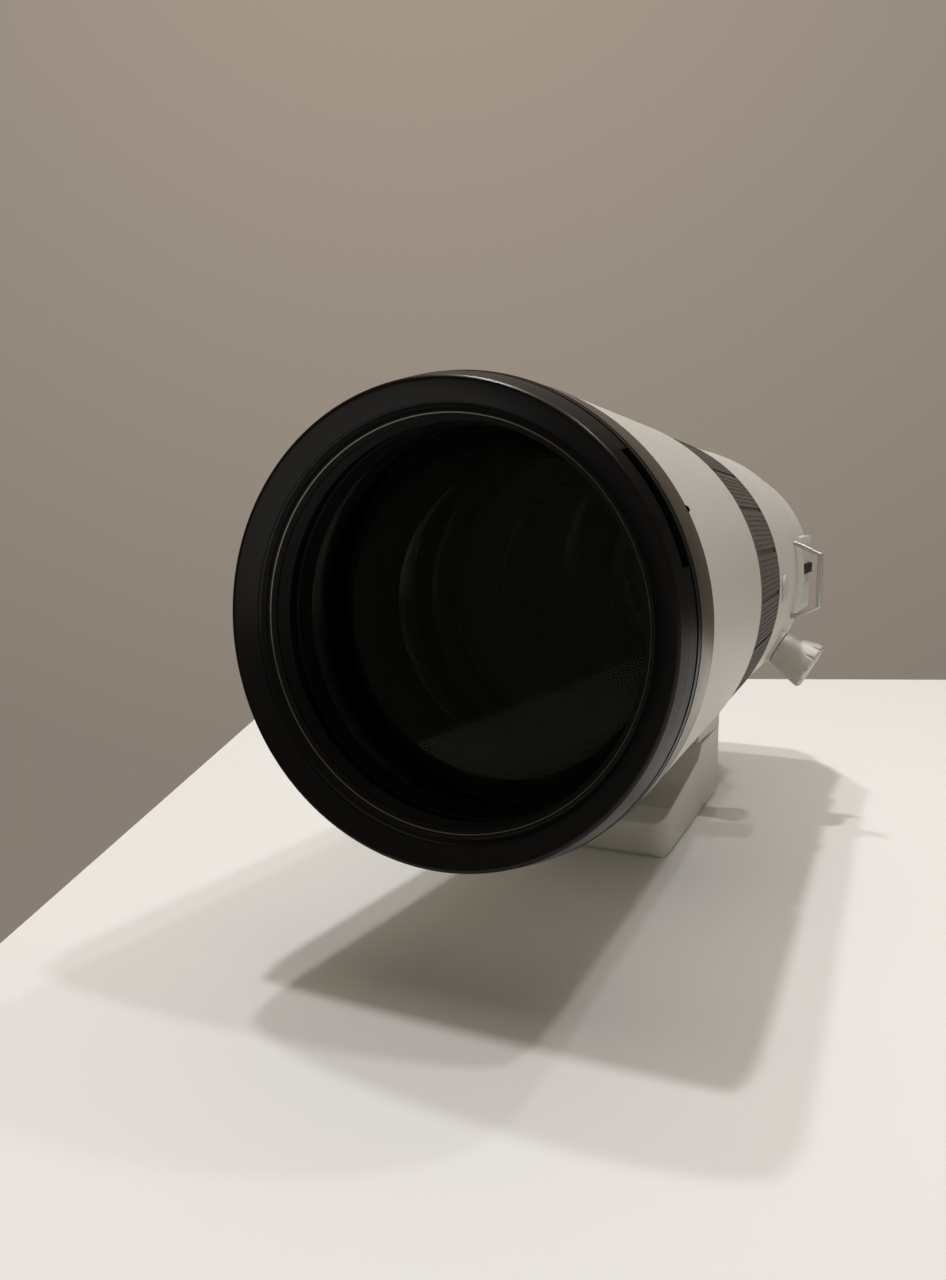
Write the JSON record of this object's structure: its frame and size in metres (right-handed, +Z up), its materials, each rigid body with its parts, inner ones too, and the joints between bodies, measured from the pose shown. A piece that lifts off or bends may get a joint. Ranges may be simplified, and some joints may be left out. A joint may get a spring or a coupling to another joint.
{
  "type": "super telephoto lens",
  "caption": "Large light grey telephoto lens with a rubber focus ring, a rotating collar with lock knob, and a foot whose toe runs forward.",
  "frame": {"origin": "mouth of the large threaded hole on the underside of the foot", "axes": "+Y along the optical axis to the rear, +Z up, the front glass faces -Y"},
  "size_m": [0.1206, 0.2955, 0.148],
  "materials": {
    "black_metal": "satin",
    "trim_metal": "satin",
    "light_grey_paint": "satin",
    "coated_glass": "polished",
    "dark_metal": "matte",
    "grip_rubber": "matte",
    "steel": "satin",
    "brass": "satin",
    "black_plastic": "matte",
    "button_plastic": "matte",
    "circuit_board": "satin",
    "seal_rubber": "matte",
    "liner_plastic": "matte",
    "knob_metal": "satin"
  },
  "bodies": {
    "collar": {"collar_ring": "light_grey_paint", "collar_liner": "liner_plastic", "foot": "light_grey_paint", "foot_screws": "steel", "strap_lugs": "steel"},
    "focus_ring_group": {"focus_ring": "dark_metal", "focus_grip": "grip_rubber", "drive_key": "brass", "cam_tube": "steel", "motor_rotor": "steel"},
    "focus_group": {"focus_cell": "black_metal", "focus_element": "coated_glass", "cam_followers": "brass"},
    "iris_ring": {"iris_ring": "dark_metal"},
    "stabiliser_slide": {"stabiliser_slide": "steel"},
    "stabiliser_cell": {"stabiliser_cell": "black_metal", "stabiliser_element": "coated_glass"},
    "brake_shoe": {"brake_shoe": "brass"},
    "lock_knob": {"lock_knob": "knob_metal"},
    "iris_blade_1": {"iris_blade_1": "dark_metal"},
    "iris_blade_2": {"iris_blade_2": "dark_metal"},
    "iris_blade_3": {"iris_blade_3": "dark_metal"},
    "iris_blade_4": {"iris_blade_4": "dark_metal"},
    "iris_blade_5": {"iris_blade_5": "dark_metal"},
    "iris_blade_6": {"iris_blade_6": "dark_metal"},
    "iris_blade_7": {"iris_blade_7": "dark_metal"},
    "switch_1": {"switch_1": "black_plastic"},
    "switch_2": {"switch_2": "black_plastic"},
    "switch_3": {"switch_3": "black_plastic"},
    "switch_4": {"switch_4": "black_plastic"},
    "hold_button_1": {"hold_button_1": "button_plastic"},
    "hold_button_2": {"hold_button_2": "button_plastic"},
    "hold_button_3": {"hold_button_3": "button_plastic"},
    "barrel": {"front_ring": "black_metal", "trim_ring": "trim_metal", "front_barrel": "light_grey_paint", "front_cell": "black_metal", "front_element": "coated_glass", "front_retainer": "black_metal", "baffle_tube": "black_metal", "second_cell": "black_metal", "second_element": "coated_glass", "main_tube": "dark_metal", "motor_stator": "brass", "guide_tube": "dark_metal", "middle_barrel": "light_grey_paint", "iris_housing": "black_metal", "stabiliser_frame": "dark_metal", "rear_cell": "black_metal", "rear_element": "coated_glass", "rear_barrel": "light_grey_paint", "switch_panel": "button_plastic", "switch_board": "circuit_board", "main_board": "circuit_board", "rear_baffle": "black_metal", "mount_ring": "steel", "mount_screws": "steel", "mount_seal": "seal_rubber", "contact_block": "black_plastic", "contact_pins": "brass"}
  },
  "joints": [
    {"name": "barrel_turn", "type": "hinge", "parent": "collar", "child": "barrel", "pos_m": [0, 0, 0.09], "axis": [0, 1, 0], "continuous": true},
    {"name": "focus_turn", "type": "hinge", "parent": "barrel", "child": "focus_ring_group", "pos_m": [0, 0, 0.09], "axis": [0, 1, 0], "range_deg": [0, 150]},
    {"name": "focus_slide", "type": "slide", "parent": "barrel", "child": "focus_group", "axis": [0, 1, 0], "range_m": [0, 0.014]},
    {"name": "iris_turn", "type": "hinge", "parent": "barrel", "child": "iris_ring", "pos_m": [0, 0, 0.09], "axis": [0, 1, 0], "range_deg": [0, 30]},
    {"name": "iris_blade_1_swing", "type": "hinge", "parent": "barrel", "child": "iris_blade_1", "pos_m": [0.02769, 0, 0.09], "axis": [0, 1, 0], "range_deg": [0, 35]},
    {"name": "iris_blade_2_swing", "type": "hinge", "parent": "barrel", "child": "iris_blade_2", "pos_m": [0.01726, 0, 0.06835], "axis": [0, 1, 0], "range_deg": [0, 35]},
    {"name": "iris_blade_3_swing", "type": "hinge", "parent": "barrel", "child": "iris_blade_3", "pos_m": [-0.00616, 0, 0.063], "axis": [0, 1, 0], "range_deg": [0, 35]},
    {"name": "iris_blade_4_swing", "type": "hinge", "parent": "barrel", "child": "iris_blade_4", "pos_m": [-0.02495, 0, 0.07799], "axis": [0, 1, 0], "range_deg": [0, 35]},
    {"name": "iris_blade_5_swing", "type": "hinge", "parent": "barrel", "child": "iris_blade_5", "pos_m": [-0.02495, 0, 0.10201], "axis": [0, 1, 0], "range_deg": [0, 35]},
    {"name": "iris_blade_6_swing", "type": "hinge", "parent": "barrel", "child": "iris_blade_6", "pos_m": [-0.00616, 0, 0.117], "axis": [0, 1, 0], "range_deg": [0, 35]},
    {"name": "iris_blade_7_swing", "type": "hinge", "parent": "barrel", "child": "iris_blade_7", "pos_m": [0.01726, 0, 0.11165], "axis": [0, 1, 0], "range_deg": [0, 35]},
    {"name": "stabiliser_across", "type": "slide", "parent": "barrel", "child": "stabiliser_slide", "axis": [1, 0, 0], "range_m": [-0.0008, 0.0008], "stiffness_N_per_m": 8000},
    {"name": "stabiliser_upright", "type": "slide", "parent": "stabiliser_slide", "child": "stabiliser_cell", "axis": [0, 0, 1], "range_m": [-0.0008, 0.0008], "stiffness_N_per_m": 8000},
    {"name": "switch_1_slide", "type": "slide", "parent": "barrel", "child": "switch_1", "axis": [0, 0, -1], "range_m": [0, 0.004]},
    {"name": "switch_2_slide", "type": "slide", "parent": "barrel", "child": "switch_2", "axis": [0, 0, -1], "range_m": [0, 0.004]},
    {"name": "switch_3_slide", "type": "slide", "parent": "barrel", "child": "switch_3", "axis": [0, 0, -1], "range_m": [0, 0.004]},
    {"name": "switch_4_slide", "type": "slide", "parent": "barrel", "child": "switch_4", "axis": [0, 0, -1], "range_m": [0, 0.004]},
    {"name": "hold_button_1_press", "type": "slide", "parent": "barrel", "child": "hold_button_1", "axis": [0, 0, -1], "range_m": [0, 0.0008], "stiffness_N_per_m": 1500},
    {"name": "hold_button_2_press", "type": "slide", "parent": "barrel", "child": "hold_button_2", "axis": [1, 0, 0], "range_m": [0, 0.0008], "stiffness_N_per_m": 1500},
    {"name": "hold_button_3_press", "type": "slide", "parent": "barrel", "child": "hold_button_3", "axis": [-1, 0, 0], "range_m": [0, 0.0008], "stiffness_N_per_m": 1500},
    {"name": "knob_turn", "type": "hinge", "parent": "collar", "child": "lock_knob", "pos_m": [0.04548, 0.021, 0.06479], "axis": [-0.8746, 0, 0.4848], "range_deg": [0, 90]},
    {"name": "brake_swing", "type": "hinge", "parent": "collar", "child": "brake_shoe", "pos_m": [0.03873, 0.021, 0.06133], "axis": [0, -1, 0], "range_deg": [0, 1.02]}
  ],
  "couplings": [
    {"joint": "focus_slide", "follows": "focus_turn", "m_per_rad": 0.0053476},
    {"joint": "iris_blade_1_swing", "follows": "iris_turn", "ratio": 1.1667},
    {"joint": "iris_blade_2_swing", "follows": "iris_turn", "ratio": 1.1667},
    {"joint": "iris_blade_3_swing", "follows": "iris_turn", "ratio": 1.1667},
    {"joint": "iris_blade_4_swing", "follows": "iris_turn", "ratio": 1.1667},
    {"joint": "iris_blade_5_swing", "follows": "iris_turn", "ratio": 1.1667},
    {"joint": "iris_blade_6_swing", "follows": "iris_turn", "ratio": 1.1667},
    {"joint": "iris_blade_7_swing", "follows": "iris_turn", "ratio": 1.1667},
    {"joint": "brake_swing", "follows": "knob_turn", "ratio": 0.011368}
  ]
}
